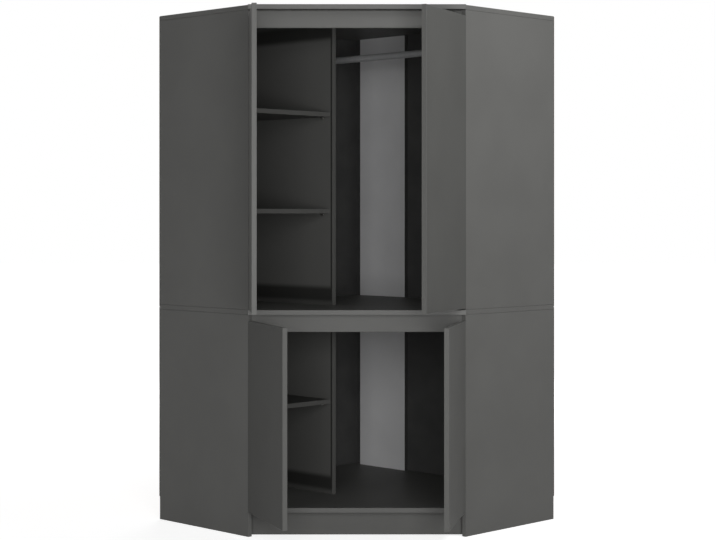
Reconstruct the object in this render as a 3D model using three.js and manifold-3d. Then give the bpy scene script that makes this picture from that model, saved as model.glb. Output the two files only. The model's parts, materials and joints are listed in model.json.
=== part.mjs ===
// Corner wardrobe in two storeys with four hinged doors, built as a three.js scene in millimetres, Z up.
// The front is a plane across the room corner. The two side panels stand square to the two walls.
// The origin is the middle of the front plinth's underside. X runs along the front, Y towards the room corner.
import * as THREE from "three";
import { mergeVertices } from "three/addons/utils/BufferGeometryUtils.js";
import Module from "manifold-3d";

// Overall sizes
const wall_width = 1000; // from the room corner along each wall to a side panel's outer face
const side_depth = 480; // of a side panel with the back panel behind it
const total_height = 1800;
const lower_side_height = 752; // floor to the underside of the middle board
const board = 16; // thickness of every faced board
const back_thickness = 3; // fibreboard

// Clearances
const fit_gap = 0.3; // between pieces that rest against each other at an angle
const back_joint = 2; // between the upper and lower back panels, behind the middle board
const back_top_inset = 2; // the back panels end this far below the top face

// Base and front rails
const plinth_height = 82;
const plinth_recess = 44; // from the front plane
const lintel_height = 60;
const lintel_recess = 20; // from the front plane

// Doors
const door_back_gap = 2; // from a closed door's back face to the front plane
const door_thickness = 16;
const door_side_inset = 0.7; // a door's hinge edge stands this far inside the carcass's front corner
const door_meeting_gap = 3;
const finger_gap = 22; // above each door, for opening it by its top edge
const upper_door_foot_gap = 5; // above the middle board
const lower_door_lap = 13; // below the top face of the bottom board
const upper_left_open = 85; // degrees from closed, as the doors stand at rest
const upper_right_open = 66;
const lower_left_open = 69;
const lower_right_open = 78;

// Inside
const shelf_bay_width = 382.5; // clear, between the left side panel and the divider
const shelf_setback = 12; // from the divider's front edge
const shelf_play = 0.5; // at each side of a shelf
const shelf_back_play = 1;
const lower_shelf_rise = 320; // from the top face of the floor below to the shelf's underside
const upper_shelf_rise = 326; // the same, to the first shelf of the upper storey
const upper_shelf_pitch = 343;
const corner_board_width = 245;
const corner_board_stand_off = 35.5; // from the left back panel to the corner board's edge

// Shelf pins
const pin_shank_radius = 2.5;
const pin_shank_length = 8;
const pin_head_radius = 3.5;
const pin_head_length = 8;
const pin_inset = 37; // from a shelf's front and rear edges
const pin_sides = 10;

// Hanging rail
const rail_radius = 12.5;
const rail_wall = 1.5;
const rail_drop = 104; // from the top board's underside to the rail's axis
const rail_from_wall = 240;
const rail_end_gap = 60; // from the rail's left end to the left wall
const rail_sides = 20;
const flange_radius = 24;
const flange_thickness = 3;
const socket_wall = 3.2;
const socket_length = 11;
const bracket_inset = 20; // from the rail's left end to the middle of the ceiling bracket
const bracket_width = 10; // along the rail
const bracket_plate_length = 64;
const bracket_plate_width = 26;
const bracket_plate_thickness = 3;
const bracket_stem_width = 14;
const rail_screw_radius = 3.6;
const rail_screw_height = 1.6;
const rail_screw_inset = 9; // from the end of the ceiling plate

// Concealed hinges
const hinge_edge_distance = 9.5; // from a door's hinge edge to the pivot, which is halfway through the door
const hinge_end_distance = 100; // from a door's end to the middle of its outer hinges
const middle_hinge_drop = 168.5; // from the underside of a storey's top shelf to its doors' middle hinges
const upper_hinges = 3;
const lower_hinges = 2;
const cup_radius = 17.5;
const cup_depth = 12;
const cup_wall = 1;
const cup_floor = 0.8;
const cup_edge_distance = 3; // of wood between the door's hinge edge and the cup
const cup_sides = 22;
const cup_rim_radius = 19;
const cup_ear_width = 18;
const cup_ear_span = 62;
const cup_ear_thickness = 1.2;
const hinge_screw_radius = 3.6;
const hinge_screw_height = 1;
const hinge_screw_sides = 8;
const cup_screw_inset = 7; // from an ear's end
const pivot_radius = 1.5;
const knuckle_radius = 2.9;
const knuckle_sides = 12;
const arm_thickness = 2.4;
const arm_height = 14;
const arm_reach = 12.5; // from the pivot to the arm's neck, past the cup's rim when the door stands open
const arm_bend_radius = 3;
const arm_bend_steps = 2;
const arm_length = 54; // along the side panel
const plate_thickness = 5;
const plate_front_inset = 8; // from the side panel's front edge
const plate_length = 44;
const plate_spine_height = 18;
const plate_wing_length = 14;
const plate_wing_height = 54;
const plate_wing_thickness = 2.2;
const plate_screw_inset = 7;

// Cuts run past the face that they open by this much
const cut_overrun = 1;

// Levels
const bottom_board_z = plinth_height;
const lower_floor_z = bottom_board_z + board;
const middle_board_z = lower_side_height;
const upper_floor_z = middle_board_z + board;
const top_board_z = total_height - board;

// Plan in the wall directions: u along the left wall and v along the right wall, towards the room corner
const half = 0.5;
const front_offset = (wall_width - side_depth) * half;
const wall_line = wall_width - front_offset;
const back_face = wall_line - back_thickness;
const board_rear = back_face - fit_gap;
const side_inner = board - front_offset;
const between_sides = side_inner + fit_gap;
const divider_left = side_inner + shelf_bay_width;
const divider_right = divider_left + board;

// Plan in the front directions, measured from the front plane
const diagonal = Math.SQRT2;
const front_half = front_offset * diagonal;
const nose = door_back_gap + door_thickness;
const plinth_middle = plinth_recess + board * half;
const door_edge_x = front_half - door_side_inset;
const door_width = door_edge_x - door_meeting_gap * half;
const pivot_x = door_edge_x - hinge_edge_distance;
const pivot_y = -(door_back_gap + door_thickness * half);
const corner_angle = Math.PI / 4;

const wasm = await Module();
wasm.setup();

// A closed geometry as a solid that can be joined and cut.
function solid(geometry) {
  geometry.deleteAttribute("normal");
  geometry.deleteAttribute("uv");
  const merged = mergeVertices(geometry);
  return new wasm.Manifold(
    new wasm.Mesh({
      numProp: 3,
      vertProperties: merged.attributes.position.array,
      triVerts: new Uint32Array(merged.index.array),
    }),
  );
}

// A solid back as a geometry.
function geometry_of(made) {
  const mesh = made.getMesh();
  const geometry = new THREE.BufferGeometry();
  geometry.setAttribute("position", new THREE.BufferAttribute(mesh.vertProperties, 3));
  geometry.setIndex(new THREE.BufferAttribute(mesh.triVerts, 1));
  geometry.computeVertexNormals();
  return geometry;
}

// The first geometry joined with the others.
function joined(first, ...others) {
  return geometry_of(others.reduce((sum, other) => sum.add(solid(other)), solid(first)));
}

// The first geometry with the others cut away.
function cut(first, ...others) {
  return geometry_of(others.reduce((rest, other) => rest.subtract(solid(other)), solid(first)));
}

// A rectangular block between two corners.
function block([x0, y0, z0], [x1, y1, z1]) {
  const geometry = new THREE.BoxGeometry(x1 - x0, y1 - y0, z1 - z0);
  return geometry.translate((x0 + x1) * half, (y0 + y1) * half, (z0 + z1) * half);
}

// An upright prism over a plan outline.
function prism(outline, low, high) {
  const shape = new THREE.Shape(outline.map(([x, y]) => new THREE.Vector2(x, y)));
  const geometry = new THREE.ExtrudeGeometry(shape, { depth: high - low, bevelEnabled: false });
  return geometry.translate(0, 0, low);
}

// A cylinder from its start point along X, Y or Z.
function cylinder(radius, length, sides, direction, start) {
  const geometry = new THREE.CylinderGeometry(radius, radius, length, sides);
  geometry.translate(0, length * half, 0);
  if (direction === "x") geometry.rotateZ(-Math.PI / 2);
  if (direction === "z") geometry.rotateX(Math.PI / 2);
  return geometry.translate(...start);
}

// A geometry mirrored left to right, with its faces turned to point outwards again.
function mirrored(geometry) {
  const flipped = mergeVertices(geometry.clone().deleteAttribute("normal"));
  flipped.scale(-1, 1, 1);
  const index = flipped.index.array;
  for (let i = 0; i < index.length; i += 3) [index[i], index[i + 1]] = [index[i + 1], index[i]];
  flipped.computeVertexNormals();
  return flipped;
}

// A plan point given in the wall directions, in the front directions.
const from_walls = (u, v) => [(u - v) / diagonal, (u + v) / diagonal];

// Where a line along the left side panel's inner face, or its mirror image, crosses a depth y.
const inner_x = (y) => -between_sides * diagonal + y;

const anthracite = { color: 0x575756, roughness: 0.55, metalness: 0 };
const dark_fibreboard = { color: 0x2b2b2b, roughness: 0.8, metalness: 0 };
const pale_grey = { color: 0xa9a9a8, roughness: 0.6, metalness: 0 };
const satin_steel = { color: 0xb4b6b8, roughness: 0.3, metalness: 1 };

const wardrobe = new THREE.Group();

// Pieces placed from the front plane
const front = new THREE.Group();
front.position.y = -plinth_middle;
wardrobe.add(front);

// Pieces placed in the wall directions
const walls = new THREE.Group();
walls.rotation.z = corner_angle;
front.add(walls);

function add(group, name, geometry, finish, place = [0, 0, 0]) {
  const mesh = new THREE.Mesh(geometry, new THREE.MeshStandardMaterial(finish));
  mesh.name = name;
  mesh.position.set(...place);
  group.add(mesh);
}

// Middle and top boards, which cover the side panels and whose front edges cover the doors
function cover_board(low) {
  const outline = [
    [-front_half, -nose],
    [front_half, -nose],
    [front_half, 0],
    from_walls(board_rear, -front_offset),
    from_walls(board_rear, board_rear),
    from_walls(-front_offset, board_rear),
    [-front_half, 0],
  ];
  return prism(outline, low, low + board);
}
add(front, "middle_board", cover_board(middle_board_z), anthracite);
add(front, "top_board", cover_board(top_board_z), anthracite);

// Corner boards stand against the right back panel. The lower one is the rear foot of the carcass.
const corner_board_left = back_face - corner_board_stand_off;
const corner_board_right = corner_board_left - corner_board_width;
const corner_board_face = board_rear - board;
function corner_board(low, high) {
  return block([corner_board_face, corner_board_right, low], [board_rear, corner_board_left, high]);
}
add(walls, "lower_corner_board", corner_board(0, middle_board_z), pale_grey);
add(walls, "upper_corner_board", corner_board(upper_floor_z, top_board_z), pale_grey);

// Bottom board, between the side panels and notched round the lower corner board
const bottom_outline = [
  [-inner_x(0), 0],
  [inner_x(0), 0],
  from_walls(board_rear, between_sides),
  from_walls(board_rear, corner_board_right - fit_gap),
  from_walls(corner_board_face - fit_gap, corner_board_right - fit_gap),
  from_walls(corner_board_face - fit_gap, corner_board_left + fit_gap),
  from_walls(board_rear, corner_board_left + fit_gap),
  from_walls(board_rear, board_rear),
  from_walls(between_sides, board_rear),
];
add(front, "bottom_board", prism(bottom_outline, bottom_board_z, lower_floor_z), anthracite);

// Front rails, mitred to the side panels' inner faces
function front_rail(recess, low, high) {
  const rear = recess + board;
  const outline = [
    [-inner_x(recess), recess],
    [inner_x(recess), recess],
    [inner_x(rear), rear],
    [-inner_x(rear), rear],
  ];
  return prism(outline, low, high);
}
add(front, "front_plinth", front_rail(plinth_recess, 0, bottom_board_z), anthracite);
for (const [name, high] of [["lower_lintel", middle_board_z], ["upper_lintel", top_board_z]]) {
  add(front, name, front_rail(lintel_recess, high - lintel_height, high), anthracite);
}

// Shelves, and the pins that carry them in bores in the left side panel and the divider
const shelf_front = front_offset + shelf_setback;
const shelf_rear = board_rear - shelf_back_play;
const lower_shelf_z = lower_floor_z + lower_shelf_rise;
const upper_shelf_low_z = upper_floor_z + upper_shelf_rise;
const upper_shelf_high_z = upper_shelf_low_z + upper_shelf_pitch;
const shelves = [
  { name: "lower_shelf", storey: "lower", z: lower_shelf_z },
  { name: "upper_shelf_1", storey: "upper", z: upper_shelf_low_z },
  { name: "upper_shelf_2", storey: "upper", z: upper_shelf_high_z },
];
const pin_places = { front: shelf_front + pin_inset, rear: shelf_rear - pin_inset };
const pin_axis_drop = pin_head_radius + fit_gap;

function shelf_pin() {
  const length = pin_shank_length + pin_head_length;
  const shank = cylinder(pin_shank_radius, length, pin_sides, "x", [-pin_shank_length, 0, 0]);
  const head = cylinder(pin_head_radius, pin_head_length, pin_sides, "x", [0, 0, 0]);
  return joined(head, shank);
}

for (const { name, z } of shelves) {
  const low = [side_inner + shelf_play, shelf_front, z];
  const high = [divider_left - shelf_play, shelf_rear, z + board];
  add(walls, name, block(low, high), anthracite);
  for (const [end, v] of Object.entries(pin_places)) {
    const pin_z = z - pin_axis_drop;
    add(walls, `${name}_pin_left_${end}`, shelf_pin(), satin_steel, [side_inner + fit_gap, v, pin_z]);
    const facing_left = mirrored(shelf_pin());
    add(walls, `${name}_pin_right_${end}`, facing_left, satin_steel, [divider_left - fit_gap, v, pin_z]);
  }
}

// The bores of one storey's shelf pins, as cutters that start inside the board and open its face
const bore_depth = pin_shank_length + fit_gap;
const bore_radius = pin_shank_radius + fit_gap;
function pin_bores(storey, start_u) {
  const cutters = [];
  for (const shelf of shelves.filter((shelf) => shelf.storey === storey)) {
    for (const v of Object.values(pin_places)) {
      const start = [start_u, v, shelf.z - pin_axis_drop];
      cutters.push(cylinder(bore_radius, bore_depth + cut_overrun, pin_sides, "x", start));
    }
  }
  return cutters;
}

// Side panels and dividers of each storey
const storeys = [
  { name: "lower", side_low: 0, low: lower_floor_z, high: middle_board_z },
  { name: "upper", side_low: upper_floor_z, low: upper_floor_z, high: top_board_z },
];
for (const { name, side_low, low, high } of storeys) {
  const left = block([-front_offset, front_offset, side_low], [side_inner, board_rear, high]);
  const left_bores = pin_bores(name, side_inner - bore_depth);
  add(walls, `${name}_left_side`, cut(left, ...left_bores), anthracite);
  const right = block([front_offset, -front_offset, side_low], [board_rear, side_inner, high]);
  add(walls, `${name}_right_side`, right, anthracite);
  const divider = block([divider_left, front_offset, low], [divider_right, board_rear, high]);
  const divider_bores = pin_bores(name, divider_left - cut_overrun);
  add(walls, `${name}_divider`, cut(divider, ...divider_bores), anthracite);
}

// Back panels cover the rear edges of the carcass. The right one ends against the left one.
const back_split = middle_board_z + board * half;
const backs = [
  { name: "lower", low: bottom_board_z, high: back_split - back_joint * half },
  { name: "upper", low: back_split + back_joint * half, high: total_height - back_top_inset },
];
for (const { name, low, high } of backs) {
  const left = block([-front_offset, back_face, low], [wall_line, wall_line, high]);
  add(walls, `${name}_left_back`, left, dark_fibreboard);
  const right = block([back_face, -front_offset, low], [wall_line, board_rear, high]);
  add(walls, `${name}_right_back`, right, dark_fibreboard);
}

// Hanging rail: a tube from a flanged socket on the right side panel to a bracket under the top board
const rail_u = wall_line - rail_from_wall;
const rail_z = top_board_z - rail_drop;
const flange_start = side_inner + fit_gap;
const rail_start = flange_start + flange_thickness + fit_gap;
const rail_end = wall_line - rail_end_gap;
const socket_radius = rail_radius + fit_gap;
const rail_place = (v) => [rail_u, v, rail_z];

const rail_length = rail_end - rail_start;
const rail_bore_start = [0, -cut_overrun, 0];
const rail_body = cylinder(rail_radius, rail_length, rail_sides, "y", [0, 0, 0]);
const rail_bore = cylinder(
  rail_radius - rail_wall,
  rail_length + cut_overrun + cut_overrun,
  rail_sides,
  "y",
  rail_bore_start,
);
add(walls, "hanging_rail", cut(rail_body, rail_bore), satin_steel, rail_place(rail_start));

const socket_outer = socket_radius + socket_wall;
const socket_floor = [0, flange_thickness, 0];
const flange_disc = cylinder(flange_radius, flange_thickness, rail_sides, "y", [0, 0, 0]);
const socket = cylinder(socket_outer, flange_thickness + socket_length, rail_sides, "y", [0, 0, 0]);
const socket_bore = cylinder(socket_radius, socket_length + cut_overrun, rail_sides, "y", socket_floor);
const flange = cut(joined(flange_disc, socket), socket_bore);
add(walls, "rail_flange", flange, satin_steel, rail_place(flange_start));

const bracket_front = -bracket_width * half;
const ring = cylinder(socket_outer, bracket_width, rail_sides, "y", [0, bracket_front, 0]);
const ring_bore = cylinder(
  socket_radius,
  bracket_width + cut_overrun + cut_overrun,
  rail_sides,
  "y",
  [0, bracket_front - cut_overrun, 0],
);
const stem = block(
  [-bracket_stem_width * half, bracket_front, socket_radius],
  [bracket_stem_width * half, -bracket_front, rail_drop - bracket_plate_thickness],
);
const bracket_plate_z = rail_drop - bracket_plate_thickness;
const bracket_plate = block(
  [-bracket_plate_length * half, -bracket_plate_width * half, bracket_plate_z],
  [bracket_plate_length * half, bracket_plate_width * half, rail_drop],
);
const bracket_screws = [-1, 1].map((side) =>
  cylinder(rail_screw_radius, rail_screw_height + fit_gap, hinge_screw_sides, "z", [
    side * (bracket_plate_length * half - rail_screw_inset),
    0,
    bracket_plate_z - rail_screw_height,
  ]),
);
const bracket = cut(joined(ring, stem, bracket_plate, ...bracket_screws), ring_bore);
add(walls, "rail_bracket", bracket, satin_steel, rail_place(rail_end - bracket_inset));

// Concealed hinge cup, round the pivot: sunk in the door's back face, with the pivot pin across it.
// Its X runs from the pivot towards the door's free edge, its Y to the door's back.
const cup_x = cup_edge_distance + cup_radius - hinge_edge_distance;
const door_back = door_thickness * half;
const cup_bottom = door_back - cup_depth;
const ear_low = door_back + fit_gap;
const ear_high = ear_low + cup_ear_thickness;
function hinge_cup() {
  const pot = cylinder(cup_radius, ear_high - cup_bottom, cup_sides, "y", [cup_x, cup_bottom, 0]);
  const rim = cylinder(cup_rim_radius, cup_ear_thickness, cup_sides, "y", [cup_x, ear_low, 0]);
  const ears = block(
    [cup_x - cup_ear_width * half, ear_low, -cup_ear_span * half],
    [cup_x + cup_ear_width * half, ear_high, cup_ear_span * half],
  );
  const screws = [-1, 1].map((side) =>
    cylinder(hinge_screw_radius, hinge_screw_height + cup_ear_thickness, hinge_screw_sides, "y", [
      cup_x,
      ear_low,
      side * (cup_ear_span * half - cup_screw_inset),
    ]),
  );
  const hollow_low = cup_bottom + cup_floor;
  const hollow_depth = ear_high - hollow_low + cut_overrun;
  const hollow = cylinder(cup_radius - cup_wall, hollow_depth, cup_sides, "y", [cup_x, hollow_low, 0]);
  const pin_reach = Math.sqrt(cup_radius ** 2 - (cup_x + pivot_radius) ** 2);
  const pin = cylinder(pivot_radius, pin_reach + pin_reach, knuckle_sides, "z", [0, 0, -pin_reach]);
  return joined(cut(joined(pot, rim, ears, ...screws), hollow), pin);
}

// A centreline with each inner corner rounded to an arc.
function rounded(points, radius, steps) {
  const line = [points[0]];
  for (let i = 1; i < points.length - 1; i += 1) {
    const [before, corner, after] = [points[i - 1], points[i], points[i + 1]];
    const back = before.clone().sub(corner).normalize();
    const on = after.clone().sub(corner).normalize();
    const half_angle = Math.acos(back.dot(on)) * half;
    const start = corner.clone().addScaledVector(back, radius / Math.tan(half_angle));
    const bisector = back.clone().add(on).normalize();
    const centre = corner.clone().addScaledVector(bisector, radius / Math.sin(half_angle));
    const turn = Math.sign(on.cross(back)) * (Math.PI - half_angle - half_angle);
    for (let step = 0; step <= steps; step += 1) {
      line.push(start.clone().rotateAround(centre, (turn * step) / steps));
    }
  }
  line.push(points.at(-1));
  return line;
}

// The outline of a strip of even width along a centreline.
function strip(line, width) {
  const sides = [[], []];
  line.forEach((point, i) => {
    const into = point.clone().sub(line[Math.max(i - 1, 0)]).normalize();
    const out = line[Math.min(i + 1, line.length - 1)].clone().sub(point).normalize();
    const way = into.clone().add(out).normalize();
    const across = new THREE.Vector2(-way.y, way.x);
    const stretch = (width * half) / Math.max(way.dot(out), way.dot(into));
    sides[0].push(point.clone().addScaledVector(across, stretch));
    sides[1].unshift(point.clone().addScaledVector(across, -stretch));
  });
  return sides.flat().map((point) => [point.x, point.y]);
}

// Hinge arm of a left door, round the pivot: from its knuckle out past the cup's rim and back along the
// side panel to the mounting plate, which is screwed to the panel's inner face.
const pivot_u = (pivot_y - pivot_x) / diagonal;
const pivot_v = (pivot_y + pivot_x) / diagonal;
const plate_low = side_inner + fit_gap - pivot_u;
const plate_high = plate_low + plate_thickness;
const plate_start = front_offset + plate_front_inset - pivot_v;
const arm_line = plate_high + arm_thickness * half;
function hinge_arm() {
  const turn_point = new THREE.Vector2(arm_reach, arm_line * diagonal - arm_reach);
  const along_panel = new THREE.Vector2(-arm_length / diagonal, arm_length / diagonal);
  const corners = [
    new THREE.Vector2(0, 0),
    new THREE.Vector2(arm_reach, 0),
    turn_point,
    turn_point.clone().add(along_panel),
  ];
  const outline = strip(rounded(corners, arm_bend_radius, arm_bend_steps), arm_thickness);
  const half_height = arm_height * half;
  const arm = prism(outline, -half_height, half_height);
  const knuckle = cylinder(knuckle_radius, arm_height, knuckle_sides, "z", [0, 0, -half_height]);
  const eye_start = [0, 0, -half_height - cut_overrun];
  const eye_length = arm_height + cut_overrun + cut_overrun;
  const eye = cylinder(pivot_radius + fit_gap, eye_length, knuckle_sides, "z", eye_start);
  const spine = block(
    [plate_low, plate_start, -plate_spine_height * half],
    [plate_high, plate_start + plate_length, plate_spine_height * half],
  );
  const wing_start = plate_start + (plate_length - plate_wing_length) * half;
  const wings = block(
    [plate_low, wing_start, -plate_wing_height * half],
    [plate_low + plate_wing_thickness, wing_start + plate_wing_length, plate_wing_height * half],
  );
  const screws = [-1, 1].map((side) =>
    cylinder(hinge_screw_radius, plate_wing_thickness + hinge_screw_height, hinge_screw_sides, "x", [
      plate_low,
      wing_start + plate_wing_length * half,
      side * (plate_wing_height * half - plate_screw_inset),
    ]),
  );
  const plate = [spine, wings, ...screws].map((piece) => piece.rotateZ(corner_angle));
  return cut(joined(knuckle, arm, ...plate), eye);
}

// Doors, each on its hinges' pivots. Hand is 1 on the left, where the door runs along +X, -1 on the right.
const doors = [
  { name: "upper_left", hand: 1, open: upper_left_open, storey: "upper" },
  { name: "upper_right", hand: -1, open: upper_right_open, storey: "upper" },
  { name: "lower_left", hand: 1, open: lower_left_open, storey: "lower" },
  { name: "lower_right", hand: -1, open: lower_right_open, storey: "lower" },
];
const door_levels = {
  upper: {
    low: upper_floor_z + upper_door_foot_gap,
    high: top_board_z - finger_gap,
    hinges: upper_hinges,
    middle: upper_shelf_high_z - middle_hinge_drop,
  },
  lower: {
    low: lower_floor_z - lower_door_lap,
    high: middle_board_z - finger_gap,
    hinges: lower_hinges,
    middle: lower_shelf_z - middle_hinge_drop,
  },
};

// The levels of one door's hinges: two near its ends, and any others about a middle level between shelves
function hinge_levels({ low, high, hinges, middle }) {
  const ends = [low + hinge_end_distance, high - hinge_end_distance];
  const gaps = hinges - 1;
  const pitch = (ends[1] - ends[0]) / gaps;
  const between = Array.from(
    { length: hinges - ends.length },
    (_, i) => middle + (i + 1 - gaps * half) * pitch,
  );
  return [ends[0], ...between, ends[1]];
}

for (const { name, hand, open, storey } of doors) {
  const { low, high } = door_levels[storey];
  const levels = hinge_levels(door_levels[storey]);
  const pivot = new THREE.Group();
  pivot.position.set(-hand * pivot_x, pivot_y, 0);
  pivot.rotation.z = THREE.MathUtils.degToRad(-hand * open);
  front.add(pivot);

  const handed = (geometry) => (hand > 0 ? geometry : mirrored(geometry));

  const leaf = block(
    [-hinge_edge_distance, -door_back, low],
    [door_width - hinge_edge_distance, door_back, high],
  );
  const bores = levels.map((z) =>
    cylinder(cup_radius + fit_gap, cup_depth + fit_gap + cut_overrun, cup_sides, "y", [
      cup_x,
      cup_bottom - fit_gap,
      z,
    ]),
  );
  add(pivot, `${name}_door`, handed(cut(leaf, ...bores)), anthracite);
  levels.forEach((z, i) => {
    add(pivot, `${name}_hinge_cup_${i + 1}`, handed(hinge_cup()), satin_steel, [0, 0, z]);
    const seat = [-hand * pivot_x, pivot_y, z];
    add(front, `${name}_hinge_arm_${i + 1}`, handed(hinge_arm()), satin_steel, seat);
  });
}

export default wardrobe;
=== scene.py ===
import json
import math

import bmesh
import bpy
import numpy as np
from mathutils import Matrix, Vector
from mathutils.geometry import delaunay_2d_cdt

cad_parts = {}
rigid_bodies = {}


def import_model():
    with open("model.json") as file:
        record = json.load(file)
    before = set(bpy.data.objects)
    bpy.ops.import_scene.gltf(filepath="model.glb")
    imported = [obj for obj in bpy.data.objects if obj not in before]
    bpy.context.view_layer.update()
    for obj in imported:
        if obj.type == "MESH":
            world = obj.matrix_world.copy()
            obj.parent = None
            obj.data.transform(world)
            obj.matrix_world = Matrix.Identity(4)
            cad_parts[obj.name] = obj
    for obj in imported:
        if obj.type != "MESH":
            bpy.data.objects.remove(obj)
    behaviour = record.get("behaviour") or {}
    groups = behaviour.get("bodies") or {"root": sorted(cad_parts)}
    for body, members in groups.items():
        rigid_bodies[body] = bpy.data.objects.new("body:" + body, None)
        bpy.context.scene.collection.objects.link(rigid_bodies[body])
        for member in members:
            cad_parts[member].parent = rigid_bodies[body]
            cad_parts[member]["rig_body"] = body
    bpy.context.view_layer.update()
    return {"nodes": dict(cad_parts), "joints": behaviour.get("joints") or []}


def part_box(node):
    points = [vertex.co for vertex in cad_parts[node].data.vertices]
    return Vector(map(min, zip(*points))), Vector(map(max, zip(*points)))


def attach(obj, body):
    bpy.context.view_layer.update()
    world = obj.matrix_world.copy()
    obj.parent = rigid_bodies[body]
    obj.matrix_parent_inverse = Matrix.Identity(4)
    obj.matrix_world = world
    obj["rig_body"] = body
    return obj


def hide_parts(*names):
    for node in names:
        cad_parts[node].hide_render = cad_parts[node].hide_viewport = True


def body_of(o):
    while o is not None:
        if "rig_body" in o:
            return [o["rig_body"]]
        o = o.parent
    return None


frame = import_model()

# Camera
# A long lens at chest height that looks straight at the front, across the corner of the room.
# It is level, so that upright edges stay upright, and the picture is shifted down instead.
scene = bpy.context.scene
image_width, image_height = 716, 540
sensor_width = 36  # millimetres
focal_pixels = 1701.1
eye_level_row = 211.84  # the picture row at the height of the lens
lens_place = (-0.0114, -5.8047, 1.0996)
heading = -0.00257  # radians off the line straight across the corner
camera_data = bpy.data.cameras.new("camera")
camera_data.sensor_width = sensor_width
camera_data.lens = focal_pixels / image_width * sensor_width
camera_data.shift_y = (eye_level_row - image_height / 2) / image_width
camera = bpy.data.objects.new("camera", camera_data)
camera.location = lens_place
camera.rotation_euler = (math.pi / 2, 0, heading)
scene.collection.objects.link(camera)
scene.camera = camera
scene.view_settings.view_transform = "Standard"


# Light and floor
# A wide soft lamp stands in front, a lower one right of it, one hangs over the right side and a weak one
# stands behind. Floor and background are white to the eye, and the floor keeps the shadow.
class Socket:
    """A socket of a node tree. Between it and numbers or sockets, each operator adds a Math node."""

    def __init__(self, tree, output=None):
        self.tree, self.output = tree, output

    def node(self, kind, settings=None, sockets=None, result=0):
        """Any node: its settings are set first, then the values or links of its sockets."""
        made = self.tree.nodes.new(kind)
        for name, value in (settings or {}).items():
            setattr(made, name, value)
        for name, value in (sockets or {}).items():
            self.link(value, made.inputs[name])
        return Socket(self.tree, made.outputs[result])

    def link(self, value, socket):
        """Joins a socket to an input, or sets the input to a plain value."""
        if isinstance(value, Socket):
            self.tree.links.new(value.output, socket)
        else:
            socket.default_value = value

    def math(self, operation, first, second):
        return self.node("ShaderNodeMath", {"operation": operation}, {0: first, 1: second})

    def between(self, first, second):
        """The first colour where this socket is 0 and the second where it is 1."""
        return self.node("ShaderNodeMix", {"data_type": "RGBA"}, {0: self, 6: first, 7: second}, 2)

    def step(self, low, high):
        """Rises smoothly from 0 where this socket is low to 1 where it is high."""
        ends = {"From Min": low, "From Max": high, "Value": self}
        return self.node("ShaderNodeMapRange", {"interpolation_type": "SMOOTHSTEP"}, ends)

    def __add__(self, other):
        return self.math("ADD", self, other)

    def __sub__(self, other):
        return self.math("SUBTRACT", self, other)

    def __rsub__(self, other):
        return self.math("SUBTRACT", other, self)

    def __mul__(self, other):
        return self.math("MULTIPLY", self, other)

    __radd__ = __add__
    __rmul__ = __mul__


def shown_white(tree):
    """1 where a ray comes from the camera, a mirror surface or glass, and 0 for light on the object."""
    start = Socket(tree)
    seen = start.node("ShaderNodeLightPath", None, None, "Is Camera Ray")
    mirrored = start.node("ShaderNodeLightPath", None, None, "Is Glossy Ray")
    through = start.node("ShaderNodeLightPath", None, None, "Is Transmission Ray")
    return start.math("MAXIMUM", start.math("MAXIMUM", seen, mirrored), through)


ambient = 0.14
world = bpy.data.worlds.new("studio")
world.use_nodes = True
scene.world = world
sky = world.node_tree.nodes["Background"]
white = (1, 1, 1, 1)
dim = (ambient, ambient, ambient, 1)
world_start = shown_white(world.node_tree)
world_start.link(world_start.between(dim, white), sky.inputs["Color"])


def softbox(name, place, towards, size, power):
    """A square area lamp that faces a point."""
    lamp = bpy.data.lights.new(name, "AREA")
    lamp.size = size
    lamp.energy = power
    made = bpy.data.objects.new(name, lamp)
    made.location = place
    made.rotation_mode = "QUATERNION"
    made.rotation_quaternion = (Vector(towards) - Vector(place)).to_track_quat("-Z", "Y")
    made.visible_camera = False
    scene.collection.objects.link(made)


softbox("front_lamp", place=(0, -5.0, 1.4), towards=(0, 0, 0.95), size=2.5, power=97)
softbox("low_lamp", place=(0.8, -4.5, 0.8), towards=(0, 0, 0.8), size=1.0, power=24)
softbox("right_lamp", place=(1.9, -0.9, 2.3), towards=(0.45, 0, 1.6), size=0.5, power=19)
softbox("rear_lamp", place=(0, 5.0, 2.2), towards=(0, 0.5, 0.9), size=2.5, power=60)

floor_half = 30  # metres
floor_grey = (0.75, 0.75, 0.75, 1)
floor_roughness = 0.9
floor_glow_near, floor_glow_far = 0.78, 1.0
glow_rise_start, glow_rise_end = 1.2, 5.0  # metres from the middle of the floor
floor_mesh = bpy.data.meshes.new("floor")
floor_corners = [(-floor_half, -floor_half, 0), (floor_half, -floor_half, 0)]
floor_corners += [(floor_half, floor_half, 0), (-floor_half, floor_half, 0)]
floor_mesh.from_pydata(floor_corners, [], [(0, 1, 2, 3)])
floor = bpy.data.objects.new("floor", floor_mesh)
scene.collection.objects.link(floor)
floor_finish = bpy.data.materials.new("pale_floor")
floor_finish.use_nodes = True
floor_tree = floor_finish.node_tree
floor_mesh.materials.append(floor_finish)
floor_shader = floor_tree.nodes["Principled BSDF"]
floor_shader.inputs["Base Color"].default_value = floor_grey
floor_shader.inputs["Roughness"].default_value = floor_roughness
floor_shader.inputs["Specular IOR Level"].default_value = 0
floor_start = shown_white(floor_tree)
floor_place = floor_start.node("ShaderNodeTexCoord", None, None, "Object")
away = floor_start.node("ShaderNodeVectorMath", {"operation": "LENGTH"}, {0: floor_place}, "Value")
rise = away.step(glow_rise_start, glow_rise_end)
glow = rise * (floor_glow_far - floor_glow_near) + floor_glow_near
floor_start.link(glow * floor_start, floor_shader.inputs["Emission Strength"])
floor_shader.inputs["Emission Color"].default_value = white


# Carcass boards
# Chipboard faced with matt anthracite melamine, sawn square, its edges closed with a plastic band.
# Top and middle boards lie on the side panels, and the mitred plinth stands between the lower two.
millimetre = 0.001


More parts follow.
